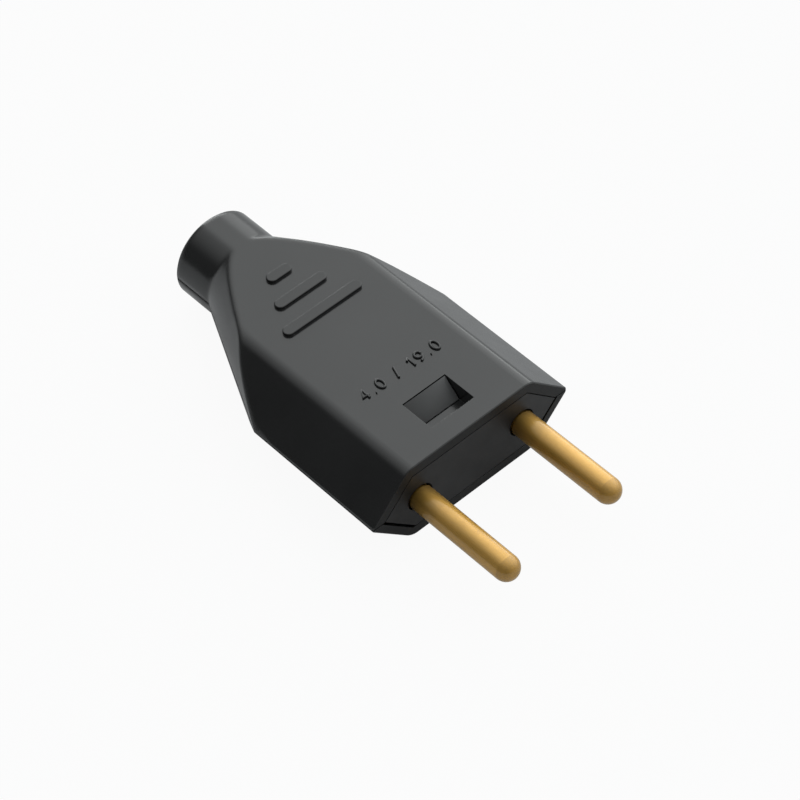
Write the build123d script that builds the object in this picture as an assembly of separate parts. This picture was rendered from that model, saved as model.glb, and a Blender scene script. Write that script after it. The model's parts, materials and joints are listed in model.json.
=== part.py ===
from build123d import *
import os
from math import cos, hypot, radians, tan

# Two-pin plug that a cord is wired into. Millimetres.
# The origin is the middle of the engagement face, +X runs out along the pins, +Z is up.

# Pins, as the socket needs them
PIN_SPACING = 19.0
PIN_DIAMETER = 4.0
PIN_LENGTH = 19.0
ROOT_GROOVE_DIAMETER = 3.6
ROOT_GROOVE_OUT = 0.15

# Square wire terminal at the rear end of each pin
TERMINAL_WIDTH = 5.2
TERMINAL_LENGTH = 10.5
WIRE_HOLE_DIAMETER = 2.8
WIRE_HOLE_DEPTH = 8.0
SCREW_FROM_TERMINAL_END = 3.4

# Housing, outside
BODY_LENGTH = 55.7
BODY_HEIGHT = 14.0
RIDGE_WIDTH = 37.0
FLAT_WIDTH = 22.9
RIDGE_ROUNDING = 0.75
FLAT_ROUNDING = 2.7
FRONT_CHAMFER = 0.15
TAPER_ANGLE = 25.2
TUBE_LENGTH = 7.45
TUBE_RISE = 0.17
TUBE_END_CHAMFER = 0.35

# Housing, inside
WALL = 1.7
CORD_HOLE_DIAMETER = 8.6
CORD_MOUTH_CHAMFER = 0.8
RIB = 1.4
FIT = 0.1
PARTING_GROOVE_WIDTH = 0.2
PARTING_GROOVE_DEPTH = 0.2
LIP_HEIGHT = 0.8

# Grip bars on the top face, counted from the cord end
BAR_COUNT = 3
BAR_WIDTH = 1.8
BAR_HEIGHT = 0.48
BAR_CHAMFER = 0.1
FIRST_BAR_FROM_FACE = 39.95
BAR_PITCH = 4.73
FIRST_BAR_LENGTH = 4.3
BAR_LENGTH_STEP = 5.0

# Latch between the shells, seen through the window
WINDOW_FROM_FACE = 3.38
WINDOW_LENGTH = 5.95
WINDOW_WIDTH = 7.9
WINDOW_DEPTH = 2.95
LEDGE_THICKNESS = 1.5
POCKET_WALL = 1.0
POCKET_FRONT_WALL = 0.8
HOOK_GAP = 0.15
HOOK_TOP_DROP = 0.1
HOOK_THICKNESS = 2.0
HOOK_RAMP_ANGLE = 45.0
HOOK_NOSE = 0.1

# Pin carrier
CARRIER_PLATE = 2.2
CARRIER_GAP = 0.15
LOWER_RIM = 1.4
SLEEVE_DIAMETER = 7.6
SLEEVE_LENGTH = 6.0
PIN_RING_GAP = 0.25
PIN_LIP = 1.2
TAB_WIDTH = 17.0
TAB_HEIGHT = 0.8
TAB_THICKNESS = 1.1

# Screws
TERMINAL_SCREW = dict(shank=2.9, length=2.0, head=4.2, head_height=1.4, slot=0.7)
CLAMP_SCREW = dict(shank=2.2, length=5.6, head=3.6, head_height=1.3, slot=0.6)
CLOSING_SCREW = dict(shank=2.9, length=7.4, head=5.6, head_height=2.0, slot=0.9)
SLOT_SHARE = 0.5
SCREW_FIT = 0.05
CLOSING_HEAD_DEPTH = 4.0
CLOSING_BOSS_WALL = 1.4

# Cord clamp
CLAMP_LENGTH = 16.6
CLAMP_WIDTH = 5.0
CLAMP_EAR = 2.3
CLAMP_LIFT = 0.3
CLAMPED_CORD_DIAMETER = 6.6
CLAMP_ARCH_WALL = 1.4
CLAMP_ROOM = 0.6
CLAMP_BOSS_WALL = 1.2
CLAMP_ROUNDING = 0.4

# Worked out from the sizes above
HALF_HEIGHT = BODY_HEIGHT / 2
TUBE_RADIUS = HALF_HEIGHT + TUBE_RISE
REAR_X = -BODY_LENGTH
NECK_X = REAR_X + TUBE_LENGTH
TAPER = radians(TAPER_ANGLE)
SLANT = hypot(HALF_HEIGHT, (RIDGE_WIDTH - FLAT_WIDTH) / 2)
SIDE_Y = HALF_HEIGHT / SLANT
SIDE_Z = (RIDGE_WIDTH - FLAT_WIDTH) / 2 / SLANT
SIDE_REACH = RIDGE_WIDTH / 2 * SIDE_Y
CAVITY_TOP = HALF_HEIGHT - WALL
PIN_Y = PIN_SPACING / 2
TERMINAL_FRONT_X = -SLEEVE_LENGTH
TERMINAL_REAR_X = TERMINAL_FRONT_X - TERMINAL_LENGTH
TERMINAL_SCREW_X = TERMINAL_REAR_X + SCREW_FROM_TERMINAL_END
TERMINAL_HALF = TERMINAL_WIDTH / 2
STOP_REAR_X = TERMINAL_REAR_X - FIT - RIB
WINDOW_FRONT_X = -WINDOW_FROM_FACE
WINDOW_REAR_X = WINDOW_FRONT_X - WINDOW_LENGTH
LEDGE_Z = HALF_HEIGHT - WINDOW_DEPTH
HOOK_REAR_X = WINDOW_REAR_X + HOOK_GAP
HOOK_FRONT_X = HOOK_REAR_X + HOOK_THICKNESS
CLAMP_SEAT_Z = CLAMP_LIFT
CLAMP_EAR_Z = CLAMP_SEAT_Z + CLAMP_EAR
CLAMP_HEAD_Z = CLAMP_EAR_Z + CLAMP_SCREW["head_height"]
CLAMP_ARCH_RADIUS = CLAMPED_CORD_DIAMETER / 2
CLAMP_TOP_Z = CLAMP_ARCH_RADIUS + CLAMP_ARCH_WALL
CLAMP_SCREW_Y = CLAMP_LENGTH / 2 - CLAMP_SCREW["head"] / 2
CLAMP_REACH = hypot(CLAMP_LENGTH / 2, CLAMP_HEAD_Z) + CLAMP_ROOM
CLAMP_REAR_X = NECK_X + (CLAMP_REACH - TUBE_RADIUS + WALL / cos(TAPER)) / tan(TAPER)
CLAMP_X = CLAMP_REAR_X + CLAMP_WIDTH / 2
CLOSING_X = (STOP_REAR_X + CLAMP_REAR_X + CLAMP_WIDTH) / 2
CLOSING_HEAD_Z = -HALF_HEIGHT + CLOSING_HEAD_DEPTH


def block(x, y, z):
    """A box between two values on each axis."""
    size = [high - low for low, high in (x, y, z)]
    middle = [(high + low) / 2 for low, high in (x, y, z)]
    return Pos(*middle) * Box(*size)


def rod(radius, x):
    """A cylinder along the X axis between two values of x."""
    return extrude(Plane.YZ.offset(x[0]) * Circle(radius), amount=x[1] - x[0])


def post(radius, x, y, z):
    """A vertical cylinder at (x, y) between two heights."""
    return extrude(Plane.XY.offset(z[0]) * Pos(x, y) * Circle(radius), amount=z[1] - z[0])


def grip_section(flat_inset, side_inset, rounded=False):
    """Six-sided section of the grip, drawn in from its flats and from its slanted sides."""
    flat_z = HALF_HEIGHT - flat_inset
    reach = SIDE_REACH - side_inset
    ridge_y = reach / SIDE_Y
    flat_y = (reach - flat_z * SIDE_Z) / SIDE_Y
    right = [(flat_y, -flat_z), (ridge_y, 0), (flat_y, flat_z)]
    left = [(-y, -z) for y, z in right]
    section = make_face(Polyline(*right, *left, close=True))
    if rounded:
        ridges = section.vertices().filter_by(lambda v: abs(v.Y) < FIT)
        section = fillet(ridges, RIDGE_ROUNDING)
        corners = section.vertices().filter_by(lambda v: abs(v.Y) > flat_z - FIT)
        section = fillet(corners, FLAT_ROUNDING)
    return Plane.YZ * section


def turned_form(tube_radius, rear_radius, inset):
    """Tube and cone about the cord's axis: the tube's end chamfered or flared, the cone drawn in."""
    neck_radius = TUBE_RADIUS - inset / cos(TAPER)
    wide_radius = neck_radius + BODY_LENGTH * tan(TAPER)
    profile = Polyline(
        (REAR_X, 0),
        (REAR_X, rear_radius),
        (REAR_X + abs(tube_radius - rear_radius), tube_radius),
        (NECK_X + (tube_radius - neck_radius) / tan(TAPER), tube_radius),
        (NECK_X + BODY_LENGTH, wide_radius),
        (NECK_X + BODY_LENGTH, 0),
        close=True,
    )
    return revolve(Plane.XZ * make_face(profile), Axis.X)


def housing_form(inset, rounded=False):
    """The housing's outer form, drawn in by an inset."""
    prism = extrude(grip_section(inset, inset, rounded), amount=-BODY_LENGTH)
    tube_radius = TUBE_RADIUS - inset
    return prism & turned_form(tube_radius, tube_radius - TUBE_END_CHAMFER, inset)


def outer_form():
    """The whole outside of the housing, with its long edges rounded and its front edge chamfered."""
    form = housing_form(0, rounded=True)
    return chamfer(form.edges().group_by(Axis.X)[-1], FRONT_CHAMFER)


def cavity_form():
    """The space inside the housing, open at the front, with the cord's hole at the rear."""
    hole_radius = CORD_HOLE_DIAMETER / 2
    prism = extrude(grip_section(WALL, WALL), amount=-BODY_LENGTH)
    return prism & turned_form(hole_radius, hole_radius + CORD_MOUTH_CHAMFER, WALL)


def half_space(side):
    """Everything above (side 1) or below (side -1) the parting plane."""
    z = sorted((0, side * BODY_HEIGHT))
    return block((-2 * BODY_LENGTH, BODY_LENGTH), (-RIDGE_WIDTH, RIDGE_WIDTH), z)


def parting_groove():
    """Fine groove that follows the parting line round the outside and over both ends."""
    half = PARTING_GROOVE_WIDTH / 2
    depth = PARTING_GROOVE_DEPTH
    side = (-RIDGE_WIDTH, RIDGE_WIDTH)
    core = housing_form(depth, rounded=True)
    core &= block((REAR_X + depth, -depth), side, (-BODY_HEIGHT, BODY_HEIGHT))
    return block((REAR_X, 0), side, (-half, half)) - core


def lip_form(clearance=0.0):
    """Lip along the inner half of the wall, from the neck to the upper shell's rib."""
    x = (NECK_X - clearance, WINDOW_REAR_X - RIB - 2 * FIT + clearance)
    band = block(x, (-RIDGE_WIDTH, RIDGE_WIDTH), (0, LIP_HEIGHT + clearance))
    return (housing_form(WALL / 2 + FIT - clearance) - cavity_form()) & band


def shell_half(side):
    """One bare half of the housing."""
    return (outer_form() - cavity_form() - parting_groove()) & half_space(side)


def pocket_block(clearance=0.0):
    """Envelope of the latch pocket that hangs under the top of the upper shell."""
    half = WINDOW_WIDTH / 2 + POCKET_WALL + clearance
    front = WINDOW_FRONT_X + POCKET_FRONT_WALL + clearance
    bottom = LEDGE_Z - LEDGE_THICKNESS - clearance
    return block((WINDOW_REAR_X, front), (-half, half), (bottom, CAVITY_TOP))


def latch_window():
    """The window through the top, down to the ledge and open behind it for the hook."""
    half = WINDOW_WIDTH / 2
    opening = block((WINDOW_REAR_X, WINDOW_FRONT_X), (-half, half), (LEDGE_Z, BODY_HEIGHT))
    ledge_rear = HOOK_FRONT_X + FIT
    shaft = block((WINDOW_REAR_X, ledge_rear), (-half, half), (0, BODY_HEIGHT))
    return opening + shaft


def latch_hook():
    """Hook on the lower shell whose nose lies on the upper shell's ledge."""
    top_z = HALF_HEIGHT - HOOK_TOP_DROP
    under_z = LEDGE_Z + FIT / 2
    tip_z = under_z + HOOK_NOSE
    tip_x = HOOK_REAR_X + (top_z - tip_z) / tan(radians(HOOK_RAMP_ANGLE))
    profile = Polyline(
        (HOOK_REAR_X, -HALF_HEIGHT + WALL / 2),
        (HOOK_REAR_X, top_z),
        (tip_x, tip_z),
        (tip_x, under_z),
        (HOOK_FRONT_X, under_z),
        (HOOK_FRONT_X, -HALF_HEIGHT + WALL / 2),
        close=True,
    )
    return extrude(Plane.XZ * make_face(profile), amount=WINDOW_WIDTH / 2 - FIT, both=True)


def cross_rib(x, side, seat):
    """Cross rib behind the carrier, on both sides of the latch, with a seat cut for each pin."""
    inner = WINDOW_WIDTH / 2 + POCKET_WALL + FIT
    rib = half_space(side) & housing_form(WALL / 2)
    rib &= block(x, (-RIDGE_WIDTH, RIDGE_WIDTH), (-BODY_HEIGHT, BODY_HEIGHT))
    rib -= block(x, (-inner, inner), (-BODY_HEIGHT, BODY_HEIGHT))
    for y in (-PIN_Y, PIN_Y):
        rib -= Pos(0, y, 0) * seat
    return rib


def terminal_block(x, clearance=0.0):
    """Square bar of a wire terminal about the X axis."""
    side = (-TERMINAL_HALF - clearance, TERMINAL_HALF + clearance)
    return block(x, side, side)


def upper_shell():
    """Top half: grip bars, latch window with its ledge, ribs and the closing screw's boss."""
    shell = shell_half(1) - lip_form(FIT) + pocket_block() - latch_window()
    for number in range(BAR_COUNT):
        x = -FIRST_BAR_FROM_FACE + number * BAR_PITCH
        length = FIRST_BAR_LENGTH + number * BAR_LENGTH_STEP
        outline = Plane.XY.offset(HALF_HEIGHT) * Pos(x, 0) * SlotOverall(length, BAR_WIDTH, rotation=90)
        bar = extrude(outline, amount=BAR_HEIGHT)
        shell += chamfer(bar.edges().group_by(Axis.Z)[-1], BAR_CHAMFER)
    rest_x = (WINDOW_REAR_X - RIB, WINDOW_REAR_X)
    shell += cross_rib(rest_x, 1, terminal_block(rest_x, FIT))
    radius = CLOSING_SCREW["shank"] / 2 + SCREW_FIT
    shell += post(radius + CLOSING_BOSS_WALL, CLOSING_X, 0, (0, CAVITY_TOP + WALL / 2))
    return shell - post(radius, CLOSING_X, 0, (0, CLOSING_HEAD_Z + CLOSING_SCREW["length"] + FIT))


def lower_shell():
    """Bottom half: front relief, hook, seats for carrier and terminals, clamp bosses, screw recess."""
    shell = shell_half(-1)
    relief = extrude(grip_section(WALL, LOWER_RIM), amount=-CARRIER_PLATE - CARRIER_GAP) & half_space(-1)
    shell = shell - relief - tab_form(CARRIER_GAP) + latch_hook() + lip_form()
    cradle_x = (-CARRIER_PLATE - CARRIER_GAP - RIB, -CARRIER_PLATE - CARRIER_GAP)
    shell += cross_rib(cradle_x, -1, rod(SLEEVE_DIAMETER / 2 + FIT, cradle_x))
    stop_x = (STOP_REAR_X, TERMINAL_REAR_X + RIB)
    seat = terminal_block((TERMINAL_REAR_X - FIT, TERMINAL_REAR_X + RIB), FIT)
    shell += cross_rib(stop_x, -1, seat + rod(WIRE_HOLE_DIAMETER / 2 + FIT, stop_x))
    floor_z = -HALF_HEIGHT + WALL / 2
    saddle_x = (CLAMP_X - RIB / 2, CLAMP_X + RIB / 2)
    saddle = block(saddle_x, (-CLAMP_SCREW_Y, CLAMP_SCREW_Y), (floor_z, -CLAMP_ARCH_RADIUS / 2))
    shell += saddle - rod(CLAMP_ARCH_RADIUS, saddle_x)
    hole = CLAMP_SCREW["shank"] / 2 + SCREW_FIT
    tip_z = CLAMP_EAR_Z - CLAMP_SCREW["length"] - FIT
    for y in (-CLAMP_SCREW_Y, CLAMP_SCREW_Y):
        shell += post(hole + CLAMP_BOSS_WALL, CLAMP_X, y, (floor_z, CLAMP_SEAT_Z))
        shell -= post(hole, CLAMP_X, y, (tip_z, CLAMP_SEAT_Z))
    hole = CLOSING_SCREW["shank"] / 2 + FIT
    recess = CLOSING_SCREW["head"] / 2 + FIT
    shell += post(recess + CLOSING_BOSS_WALL, CLOSING_X, 0, (floor_z, 0))
    shell -= post(recess, CLOSING_X, 0, (-HALF_HEIGHT, CLOSING_HEAD_Z))
    return shell - post(hole, CLOSING_X, 0, (CLOSING_HEAD_Z, 0))


def tab_form(clearance=0.0):
    """Tab under the carrier plate that drops into a groove in the lower shell."""
    x = (-CARRIER_PLATE - clearance, -CARRIER_PLATE + TAB_THICKNESS + clearance)
    half = TAB_WIDTH / 2 + clearance
    bottom = -CAVITY_TOP - TAB_HEIGHT - clearance
    return block(x, (-half, half), (bottom, -CAVITY_TOP / 2))


def pin_carrier():
    """Front insert: plate flush with the rim, a sleeve for each pin and a locating tab."""
    outline = grip_section(WALL + CARRIER_GAP, WALL + CARRIER_GAP)
    carrier = extrude(outline, amount=-CARRIER_PLATE) + tab_form()
    for y in (-PIN_Y, PIN_Y):
        carrier += Pos(0, y, 0) * rod(SLEEVE_DIAMETER / 2, (-SLEEVE_LENGTH, 0))
    carrier -= pocket_block(CARRIER_GAP)
    for y in (-PIN_Y, PIN_Y):
        carrier -= Pos(0, y, 0) * rod(PIN_DIAMETER / 2 + PIN_RING_GAP, (-SLEEVE_LENGTH, 0))
        carrier -= Pos(0, y, 0) * rod(TERMINAL_HALF + FIT, (-SLEEVE_LENGTH, -PIN_LIP))
    return carrier


def pin(y):
    """Brass pin turned from square bar: round tip, root groove, collar and wire terminal."""
    radius = PIN_DIAMETER / 2
    collar_x = -PIN_LIP - FIT
    tip_x = PIN_LENGTH - radius
    solid = rod(TERMINAL_HALF, (TERMINAL_FRONT_X, collar_x))
    solid += rod(ROOT_GROOVE_DIAMETER / 2, (collar_x, ROOT_GROOVE_OUT))
    solid += rod(radius, (ROOT_GROOVE_OUT, tip_x))
    solid += Pos(tip_x, 0, 0) * Rot(0, 90, 0) * Sphere(radius)
    solid += terminal_block((TERMINAL_REAR_X, TERMINAL_FRONT_X))
    solid -= rod(WIRE_HOLE_DIAMETER / 2, (TERMINAL_REAR_X, TERMINAL_REAR_X + WIRE_HOLE_DEPTH))
    solid -= post(TERMINAL_SCREW["shank"] / 2 + SCREW_FIT, TERMINAL_SCREW_X, 0, (0, TERMINAL_HALF))
    return Pos(0, y, 0) * solid


def screw(shank, length, head, head_height, slot):
    """Slotted screw with its head's underside on the XY plane and its shank below."""
    body = post(shank / 2, 0, 0, (-length, 0)) + post(head / 2, 0, 0, (0, head_height))
    cut_z = (head_height * (1 - SLOT_SHARE), head_height)
    return body - block((-head, head), (-slot / 2, slot / 2), cut_z)


def terminal_screws():
    """One screw in each terminal."""
    places = [Pos(TERMINAL_SCREW_X, y, TERMINAL_HALF) for y in (-PIN_Y, PIN_Y)]
    return Compound([place * screw(**TERMINAL_SCREW) for place in places])


def cord_clamp():
    """Saddle that holds the cord down between its two screws."""
    x = (CLAMP_REAR_X, CLAMP_REAR_X + CLAMP_WIDTH)
    half = CLAMP_LENGTH / 2
    arch = rod(CLAMP_TOP_Z, x) & block(x, (-half, half), (CLAMP_SEAT_Z, BODY_HEIGHT))
    ears = block(x, (-half, half), (CLAMP_SEAT_Z, CLAMP_EAR_Z))
    ears = fillet(ears.edges().filter_by(Axis.Z), CLAMP_ROUNDING)
    saddle = ears + arch - rod(CLAMP_ARCH_RADIUS, x)
    for y in (-CLAMP_SCREW_Y, CLAMP_SCREW_Y):
        saddle -= post(CLAMP_SCREW["shank"] / 2 + FIT, CLAMP_X, y, (CLAMP_SEAT_Z, CLAMP_EAR_Z))
    return saddle


def clamp_screws():
    """The two screws of the cord clamp."""
    places = [Pos(CLAMP_X, y, CLAMP_EAR_Z) for y in (-CLAMP_SCREW_Y, CLAMP_SCREW_Y)]
    return Compound([place * screw(**CLAMP_SCREW) for place in places])


def closing_screw():
    """Screw from below that closes the shells."""
    return Pos(CLOSING_X, 0, CLOSING_HEAD_Z) * Rot(180, 0, 0) * screw(**CLOSING_SCREW)


nodes = {
    "upper_shell": upper_shell(),
    "lower_shell": lower_shell(),
    "pin_carrier": pin_carrier(),
    "pin_left": pin(PIN_Y),
    "pin_right": pin(-PIN_Y),
    "terminal_screws": terminal_screws(),
    "cord_clamp": cord_clamp(),
    "clamp_screws": clamp_screws(),
    "closing_screw": closing_screw(),
}

os.makedirs("parts", exist_ok=True)
for name, solid in nodes.items():
    export_step(solid, f"parts/{name}.step")
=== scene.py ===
import json
from math import cos, radians, sin, sqrt, tan

import bpy
from mathutils import Euler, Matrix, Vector


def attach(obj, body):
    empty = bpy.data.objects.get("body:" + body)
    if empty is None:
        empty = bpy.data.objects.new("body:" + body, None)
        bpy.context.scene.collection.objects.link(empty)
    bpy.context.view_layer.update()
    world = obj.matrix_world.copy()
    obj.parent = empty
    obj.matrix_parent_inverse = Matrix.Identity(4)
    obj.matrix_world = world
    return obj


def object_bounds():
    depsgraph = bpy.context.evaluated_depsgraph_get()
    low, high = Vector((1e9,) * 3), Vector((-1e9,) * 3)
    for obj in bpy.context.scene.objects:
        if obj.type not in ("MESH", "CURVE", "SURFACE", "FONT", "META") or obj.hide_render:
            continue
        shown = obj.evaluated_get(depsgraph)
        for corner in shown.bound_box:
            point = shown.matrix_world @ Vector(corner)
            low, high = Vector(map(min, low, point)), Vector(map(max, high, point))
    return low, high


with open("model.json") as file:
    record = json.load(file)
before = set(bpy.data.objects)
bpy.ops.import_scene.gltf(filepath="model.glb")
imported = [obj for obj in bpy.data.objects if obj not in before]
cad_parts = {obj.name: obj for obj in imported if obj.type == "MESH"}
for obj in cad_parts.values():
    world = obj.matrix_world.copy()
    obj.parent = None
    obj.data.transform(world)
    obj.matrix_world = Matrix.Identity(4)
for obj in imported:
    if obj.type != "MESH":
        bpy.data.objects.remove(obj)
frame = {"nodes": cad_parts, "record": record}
cad_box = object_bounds()

MM = 0.001

# Heights and lengths of the plug: its top lies as far above the pins' plane as its bottom lies below
BOTTOM_Z = cad_box[0].z
TOP_Z = -BOTTOM_Z
PIN_END_X = cad_box[1].x
PIN_RADIUS = 2.0 * MM

# Camera of the photograph
CAMERA_PLACE = Vector((203.88, -174.65, 320.67)) * MM
CAMERA_TURN = (radians(41.048), radians(2.978), radians(47.957))
FOCAL_PIXELS = 3040.0
IMAGE_PIXELS = 800
SENSOR = 36.0
CLIP = (0.01, 24.0)

# Floor just below the plug, and the share of white that the camera and reflections see in it
FLOOR_SIZE = 6.0
FLOOR_GAP = 0.02 * MM
FLOOR_COLOUR = (0.52, 0.53, 0.54, 1.0)
WHITE = (1.0, 1.0, 1.0, 1.0)
CAMERA_WHITE_SHARE = 0.94
MIRROR_WHITE_SHARE = 0.18

# Studio light, with lamp angles in degrees and azimuth counted from +X towards +Y
LIGHT_COLOUR = (0.97, 1.0, 1.0, 1.0)
ROOM_GLOW = 0.115
LAMPS = [
    dict(azimuth=100.0, elevation=27.0, inner=2.0, outer=71.0, glow=1.83),
    dict(azimuth=85.0, elevation=60.0, inner=30.0, outer=84.0, glow=0.74),
    dict(azimuth=152.0, elevation=6.0, inner=6.0, outer=20.0, glow=4.0),
    dict(azimuth=119.0, elevation=8.0, inner=2.0, outer=6.0, glow=1.5),
    dict(azimuth=207.0, elevation=60.0, inner=2.0, outer=32.0, glow=0.35),
]

# Noise mostly lies in this range, and has this much detail
NOISE_RANGE = (0.3, 0.7)
PLAIN_DETAIL = 2.0
RICH_DETAIL = 3.0

# Plastics: colours, range of roughness, shine, and size and depth of the mould texture
SHELL_LOOK = dict(
    dark=(0.011, 0.0112, 0.0114),
    light=(0.015, 0.0152, 0.0154),
    roughness=(0.18, 0.24),
    shine=0.5,
    grain=0.25 * MM,
    relief=0.0006 * MM,
)
CARRIER_LOOK = dict(
    dark=(0.009, 0.009, 0.0095),
    light=(0.013, 0.013, 0.0135),
    roughness=(0.42, 0.52),
    shine=0.28,
    grain=0.15 * MM,
    relief=0.002 * MM,
)
PLASTIC_IOR = 1.57
MOTTLE_SIZE = 9.0 * MM
GLOSS_PATCH = 4.0 * MM

# Front rim of the shells, duller where the surface faces along the pins
FRONT_FACING = (0.75, 0.95)
FRONT_ROUGHNESS = 0.5
FRONT_SHINE = 0.18

# Latch ramp in the window, matte and paler than the shell, with painted light rising towards +Y where the
# +Y wall shades it
RAMP_X = (-9.5 * MM, -4.0 * MM)
RAMP_Y = (-4.0 * MM, 4.0 * MM)
RAMP_FACING = (sqrt(0.5), 0.0, sqrt(0.5))
RAMP_ALIGNMENT = 0.97
RAMP_ROUGHNESS = 0.6
RAMP_PALENESS_AND_PAINTED_LIGHT = (1.4, 8.5)

# Grip bars, a little less shiny
BAR_Z = (TOP_Z + 0.15 * MM, TOP_Z + 0.3 * MM)
BAR_SHINE = 0.46

# Rounding of edges in the shading, widest at the shoulder between the grip and the cone
NECK_X = -48.25 * MM
TUBE_RADIUS = 7.17 * MM
CONE_SLOPE = tan(radians(25.2))
SHOULDER_REACH = (-2.0 * MM, -1.0 * MM)
SHOULDER_ROUNDING = 1.2 * MM
BAR_ROUNDING = 0.14 * MM
EDGE_ROUNDING = 0.05 * MM
EDGE_SAMPLES = 8

# Metals: colours, range of roughness, and size and depth of the grain, with a thin clear finish
BRASS_LOOK = dict(
    dark=(0.56, 0.33, 0.069),
    light=(0.69, 0.41, 0.098),
    roughness=(0.56, 0.62),
    grain=0.2 * MM,
    relief=0.0002 * MM,
)
STEEL_LOOK = dict(
    dark=(0.52, 0.52, 0.50),
    light=(0.66, 0.66, 0.63),
    roughness=(0.28, 0.40),
    grain=0.1 * MM,
    relief=0.0004 * MM,
)
FINISH_WEIGHT = 1.0
FINISH_ROUGHNESS = 0.15
STREAK_STRETCH = (0.12, 1.0, 1.0)
STREAK_SIZE = 1.2 * MM
METAL_PATCH = 0.8 * MM

# Brass pins, with painted shade at the root for the reflected dark front face, and duller on the round end,
# which is also darkened with painted shade
ROOT_X = (-0.5 * MM, 5.0 * MM)
ROOT_PAINTED_SHADE = 0.45
TIP_START_X = PIN_END_X - PIN_RADIUS
TIP_X = (TIP_START_X - 0.05 * MM, TIP_START_X + 0.1 * MM)
TIP_PAINTED_SHADE = 0.84
TIP_ROUGHNESS = 0.66

# Raised pin size in plain numbers on the top face
MARK_TEXT = "4.0 / 19.0"
MARK_BASELINE_X = -13.35 * MM
MARK_HEIGHT = 1.75 * MM
MARK_LENGTH = 14.2 * MM
MARK_STROKE = 0.38 * MM
MARK_LIFT = 0.1 * MM
STROKE_ROUNDNESS = 3
ARC_STEPS = 20


def link(obj):
    """Puts a new object into the scene."""
    bpy.context.scene.collection.objects.link(obj)
    return obj


def feed(tree, socket, value):
    """Links an input socket to an output, or sets it to a plain value."""
    if isinstance(value, bpy.types.NodeSocket):
        tree.links.new(value, socket)
    else:
        socket.default_value = value


def add_node(tree, kind, **sockets):
    """A new node with its named input sockets fed."""
    node = tree.nodes.new(kind)
    for name, value in sockets.items():
        feed(tree, node.inputs[name.replace("_", " ")], value)
    return node


def operate(tree, kind, operation, values):
    """Outputs of a new node that does a sum on values."""
    node = tree.nodes.new(kind)
    node.operation = operation
    for socket, value in zip(node.inputs, values):
        feed(tree, socket, value)
    return node.outputs


def calculate(tree, operation, *values):
    """Result of a sum on numbers."""
    return operate(tree, "ShaderNodeMath", operation, values)["Value"]


def calculate_vector(tree, operation, *vectors):
    """Outputs of a sum on vectors."""
    return operate(tree, "ShaderNodeVectorMath", operation, vectors)


def split(tree, vector):
    """X, Y and Z of a vector."""
    return add_node(tree, "ShaderNodeSeparateXYZ", Vector=vector).outputs


def change(tree, factor, low, high, factor_range=(0.0, 1.0)):
    """A value that goes from low to high while the factor crosses its range."""
    start, end = factor_range
    node = add_node(
        tree, "ShaderNodeMapRange", Value=factor, From_Min=start, From_Max=end, To_Min=low, To_Max=high
    )
    return node.outputs["Result"]


def noise(tree, place, grain, detail=PLAIN_DETAIL):
    """Noise whose lumps are about as large as the given grain."""
    return add_node(tree, "ShaderNodeTexNoise", Vector=place, Scale=1 / grain, Detail=detail).outputs["Fac"]


def blend_colours(tree, factor, low, high):
    """A colour between two, chosen by noise."""
    ramp = add_node(tree, "ShaderNodeValToRGB", Fac=factor)
    for element, colour, position in zip(ramp.color_ramp.elements, (low, high), NOISE_RANGE):
        element.color = (*colour, 1.0)
        element.position = position
    return ramp.outputs["Color"]


def bump(tree, height, depth):
    """Surface relief of the given depth."""
    return add_node(tree, "ShaderNodeBump", Height=height, Distance=depth, Strength=1.0).outputs["Normal"]


def new_material(name):
    """A material with an empty node tree."""
    material = bpy.data.materials.new(name)
    material.use_nodes = True
    material.node_tree.nodes.clear()
    return material, material.node_tree


def node_of(tree, kind):
    """The first node of a kind."""
    return next(node for node in tree.nodes if node.bl_idname == kind)


def source(shader, name):
    """The output that feeds an input of a shader."""
    return shader.inputs[name].links[0].from_socket


def scale_colour(tree, shader, factor):
    """Makes a shader's colour lighter or darker by a factor."""
    colour = tree.nodes.new("ShaderNodeVectorMath")
    colour.operation = "SCALE"
    feed(tree, colour.inputs["Vector"], source(shader, "Base Color"))
    feed(tree, colour.inputs["Scale"], factor)
    feed(tree, shader.inputs["Base Color"], colour.outputs["Vector"])


def plastic(name, dark, light, roughness, shine, grain, relief):
    """Moulded plastic with faint mottling, uneven gloss and a fine mould texture."""
    material, tree = new_material(name)
    place = tree.nodes.new("ShaderNodeTexCoord").outputs["Object"]
    mottle = noise(tree, place, MOTTLE_SIZE, RICH_DETAIL)
    shader = add_node(
        tree,
        "ShaderNodeBsdfPrincipled",
        Base_Color=blend_colours(tree, mottle, dark, light),
        Roughness=change(tree, noise(tree, place, GLOSS_PATCH), *roughness, NOISE_RANGE),
        IOR=PLASTIC_IOR,
        Specular_IOR_Level=shine,
        Normal=bump(tree, noise(tree, place, grain), relief),
    )
    add_node(tree, "ShaderNodeOutputMaterial", Surface=shader.outputs["BSDF"])
    return material


def latch_ramp(tree, x, facing):
    """1 on the latch ramp in the window, and 0 elsewhere."""
    alignment = calculate_vector(tree, "DOT_PRODUCT", facing, RAMP_FACING)["Value"]
    on_slope = calculate(tree, "GREATER_THAN", alignment, RAMP_ALIGNMENT)
    middle = (RAMP_X[0] + RAMP_X[1]) / 2
    in_window = calculate(tree, "COMPARE", x, middle, RAMP_X[1] - middle)
    return calculate(tree, "MULTIPLY", on_slope, in_window)


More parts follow.
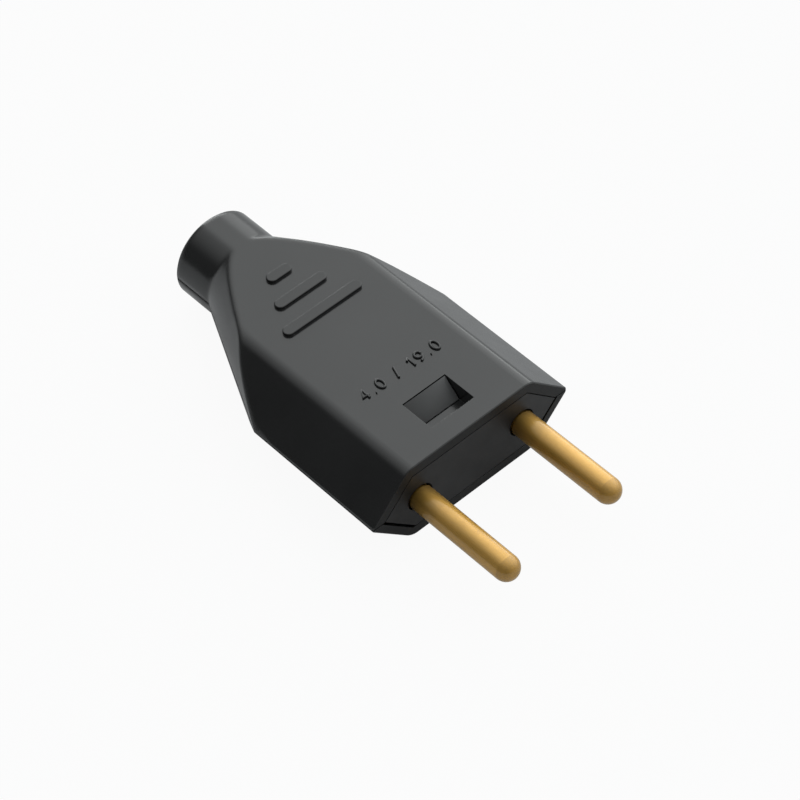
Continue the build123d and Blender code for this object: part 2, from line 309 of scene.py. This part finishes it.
def edge_rounding(tree, place, x, bar):
    """Radius of the rounding: widest near the cone's surface, less on a bar and least elsewhere."""
    across = calculate_vector(tree, "MULTIPLY", place, (0.0, 1.0, 1.0))["Vector"]
    radius = calculate_vector(tree, "LENGTH", across)["Value"]
    cone_radius = calculate(tree, "MULTIPLY_ADD", x, CONE_SLOPE, TUBE_RADIUS - NECK_X * CONE_SLOPE)
    reach = calculate(tree, "SUBTRACT", radius, cone_radius)
    rounding = change(tree, bar, EDGE_ROUNDING, BAR_ROUNDING)
    return change(tree, reach, rounding, SHOULDER_ROUNDING, SHOULDER_REACH)


def shell_plastic(name, look):
    """Plastic of the shells, dull on the front rim, matte and paler on the latch ramp with painted light
    towards +Y, and rounded at the edges.
    """
    material = plastic(name, **look)
    tree = material.node_tree
    shader = node_of(tree, "ShaderNodeBsdfPrincipled")
    coordinates = node_of(tree, "ShaderNodeTexCoord")
    place = coordinates.outputs["Object"]
    facing = coordinates.outputs["Normal"]
    x, y, z = split(tree, place)
    bar = change(tree, z, 0.0, 1.0, BAR_Z)
    front = change(tree, split(tree, facing)["X"], 0.0, 1.0, FRONT_FACING)
    ramp = latch_ramp(tree, x, facing)

    gloss = change(tree, front, source(shader, "Roughness"), FRONT_ROUGHNESS)
    feed(tree, shader.inputs["Roughness"], change(tree, ramp, gloss, RAMP_ROUGHNESS))
    shine = change(tree, bar, look["shine"], BAR_SHINE)
    feed(tree, shader.inputs["Specular IOR Level"], change(tree, front, shine, FRONT_SHINE))
    # Painted light: the ramp's colour is raised, more towards +Y, to even out the shade of the +Y wall
    paleness_and_painted_light = change(tree, y, *RAMP_PALENESS_AND_PAINTED_LIGHT, RAMP_Y)
    scale_colour(tree, shader, change(tree, ramp, 1.0, paleness_and_painted_light))

    edges = add_node(tree, "ShaderNodeBevel", Radius=edge_rounding(tree, place, x, bar))
    edges.samples = EDGE_SAMPLES
    feed(tree, node_of(tree, "ShaderNodeBump").inputs["Normal"], edges.outputs["Normal"])
    return material


def metal(name, dark, light, roughness, grain, relief):
    """Drawn metal with lengthwise streaks, uneven gloss, a fine grain and a thin clear finish."""
    material, tree = new_material(name)
    place = tree.nodes.new("ShaderNodeTexCoord").outputs["Object"]
    drawn = calculate_vector(tree, "MULTIPLY", place, STREAK_STRETCH)["Vector"]
    streaks = noise(tree, drawn, STREAK_SIZE, RICH_DETAIL)
    shader = add_node(
        tree,
        "ShaderNodeBsdfPrincipled",
        Base_Color=blend_colours(tree, streaks, dark, light),
        Metallic=1.0,
        Roughness=change(tree, noise(tree, place, METAL_PATCH), *roughness, NOISE_RANGE),
        Coat_Weight=FINISH_WEIGHT,
        Coat_Roughness=FINISH_ROUGHNESS,
        Normal=bump(tree, noise(tree, place, grain), relief),
    )
    add_node(tree, "ShaderNodeOutputMaterial", Surface=shader.outputs["BSDF"])
    return material


def pin_brass(name, look):
    """Brass of the pins, with painted shade at the root and on the round end, which is also dull."""
    material = metal(name, **look)
    tree = material.node_tree
    shader = node_of(tree, "ShaderNodeBsdfPrincipled")
    x = split(tree, node_of(tree, "ShaderNodeTexCoord").outputs["Object"])["X"]
    # Painted shade: the colour darkens towards the root, standing in for the dark front face reflected
    # there
    root = change(tree, x, ROOT_PAINTED_SHADE, 1.0, ROOT_X)
    # Painted shade: the round end is darkened, standing in for its darker reflection
    tip = change(tree, x, 1.0, TIP_PAINTED_SHADE, TIP_X)
    scale_colour(tree, shader, calculate(tree, "MULTIPLY", root, tip))
    gloss = change(tree, x, source(shader, "Roughness"), TIP_ROUGHNESS, TIP_X)
    feed(tree, shader.inputs["Roughness"], gloss)
    return material


# Material of each slot in the record
MATERIALS = {
    "shell_plastic": shell_plastic("satin_black_shell", SHELL_LOOK),
    "carrier_plastic": plastic("dull_black_carrier", **CARRIER_LOOK),
    "pin_brass": pin_brass("turned_brass", BRASS_LOOK),
    "screw_steel": metal("zinc_steel", **STEEL_LOOK),
}


def dress_solids():
    """Gives each solid the material of its slot."""
    for part in frame["record"]["subparts"]:
        mesh = frame["nodes"][part["node"]].data
        mesh.materials.clear()
        mesh.materials.append(MATERIALS[part["material_slot"]])


def arc(centre, radii, start, end):
    """Points of an elliptic arc, with angles in degrees from the right, anticlockwise."""
    points = []
    for step in range(ARC_STEPS + 1):
        angle = radians(start + (end - start) * step / ARC_STEPS)
        points.append((centre[0] + radii[0] * cos(angle), centre[1] + radii[1] * sin(angle)))
    return points


# Width of each sign and its strokes, in a box one unit high
SIGNS = {
    "0": (0.60, [arc((0.30, 0.5), (0.30, 0.5), 0, 360)]),
    "1": (0.30, [[(0.0, 0.74), (0.24, 1.0), (0.24, 0.0)]]),
    "4": (0.62, [[(0.46, 0.0), (0.46, 1.0), (0.0, 0.30), (0.62, 0.30)]]),
    "9": (0.60, [arc((0.30, 0.69), (0.30, 0.31), 0, 360), arc((0.0, 0.69), (0.60, 0.69), 0, -78)]),
    ".": (0.10, [[(0.04, 0.0), (0.06, 0.0)]]),
    "/": (0.36, [[(0.0, -0.05), (0.36, 1.05)]]),
    " ": (0.22, []),
}


def mark_curve():
    """Rounded strokes of the pin size, with the signs spread evenly over its length."""
    curve = bpy.data.curves.new("pin_size_mark", "CURVE")
    curve.dimensions = "3D"
    curve.bevel_depth = MARK_STROKE / 2
    curve.bevel_resolution = STROKE_ROUNDNESS
    curve.use_fill_caps = True
    widths = [SIGNS[sign][0] * MARK_HEIGHT for sign in MARK_TEXT]
    gap = (MARK_LENGTH - sum(widths)) / (len(MARK_TEXT) - 1)
    y = -MARK_LENGTH / 2
    z = TOP_Z + MARK_LIFT
    for sign, width in zip(MARK_TEXT, widths):
        for stroke in SIGNS[sign][1]:
            spline = curve.splines.new("POLY")
            spline.points.add(len(stroke) - 1)
            for point, (across, up) in zip(spline.points, stroke):
                point.co = (MARK_BASELINE_X - up * MARK_HEIGHT, y + across * MARK_HEIGHT, z, 1.0)
        y += width + gap
    return curve


def make_mark():
    """Raised pin diameter and spacing behind the latch window."""
    holder = bpy.data.objects.new("pin_size_curve", mark_curve())
    mark = link(bpy.data.objects.new("pin_size_mark", bpy.data.meshes.new_from_object(holder)))
    bpy.data.objects.remove(holder)
    mark.data.shade_smooth()
    mark.data.materials.clear()
    mark.data.materials.append(MATERIALS["shell_plastic"])
    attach(mark, "root")


def floor_material():
    """Pale floor that keeps the shadow, seen whiter by the camera and in reflections."""
    material, tree = new_material("pale_floor")
    rays = tree.nodes.new("ShaderNodeLightPath").outputs
    share = calculate(tree, "MULTIPLY", rays["Is Camera Ray"], CAMERA_WHITE_SHARE)
    for ray in ("Is Glossy Ray", "Is Transmission Ray"):
        share = calculate(tree, "MULTIPLY_ADD", rays[ray], MIRROR_WHITE_SHARE, share)
    pale = add_node(tree, "ShaderNodeBsdfDiffuse", Color=FLOOR_COLOUR)
    white = add_node(tree, "ShaderNodeEmission", Color=WHITE, Strength=1.0)
    mix = add_node(tree, "ShaderNodeMixShader", Fac=share)
    feed(tree, mix.inputs[1], pale.outputs["BSDF"])
    feed(tree, mix.inputs[2], white.outputs["Emission"])
    add_node(tree, "ShaderNodeOutputMaterial", Surface=mix.outputs["Shader"])
    return material


def make_floor():
    """Plain floor under the plug."""
    half = FLOOR_SIZE / 2
    z = BOTTOM_Z - FLOOR_GAP
    corners = [(-half, -half, z), (half, -half, z), (half, half, z), (-half, half, z)]
    mesh = bpy.data.meshes.new("floor")
    mesh.from_pydata(corners, [], [(0, 1, 2, 3)])
    mesh.materials.append(floor_material())
    link(bpy.data.objects.new("floor", mesh))


def lamp_glow(tree, direction, azimuth, elevation, inner, outer, glow):
    """Light of a round soft lamp that fades between two angles from its middle."""
    level = cos(radians(elevation))
    towards = (level * cos(radians(azimuth)), level * sin(radians(azimuth)), sin(radians(elevation)))
    alignment = calculate_vector(tree, "DOT_PRODUCT", direction, towards)["Value"]
    angle = calculate(tree, "ARCCOSINE", alignment)
    return change(tree, angle, glow, 0.0, (radians(inner), radians(outer)))


def make_studio():
    """Studio light as a world: a dim room with soft round lamps."""
    world = bpy.data.worlds.new("studio")
    bpy.context.scene.world = world
    world.use_nodes = True
    tree = world.node_tree
    tree.nodes.clear()
    direction = tree.nodes.new("ShaderNodeTexCoord").outputs["Generated"]
    total = ROOM_GLOW
    for lamp in LAMPS:
        total = calculate(tree, "ADD", lamp_glow(tree, direction, **lamp), total)
    background = add_node(tree, "ShaderNodeBackground", Color=LIGHT_COLOUR, Strength=total)
    add_node(tree, "ShaderNodeOutputWorld", Surface=background.outputs["Background"])


def make_camera():
    """The photograph's camera."""
    camera = bpy.data.cameras.new("camera")
    camera.sensor_width = SENSOR
    camera.lens = FOCAL_PIXELS / IMAGE_PIXELS * SENSOR
    camera.clip_start, camera.clip_end = CLIP
    obj = link(bpy.data.objects.new("camera", camera))
    obj.location = CAMERA_PLACE
    obj.rotation_euler = Euler(CAMERA_TURN)
    bpy.context.scene.camera = obj


dress_solids()
make_mark()
make_floor()
make_studio()
make_camera()
bpy.context.scene.view_settings.view_transform = "Standard"
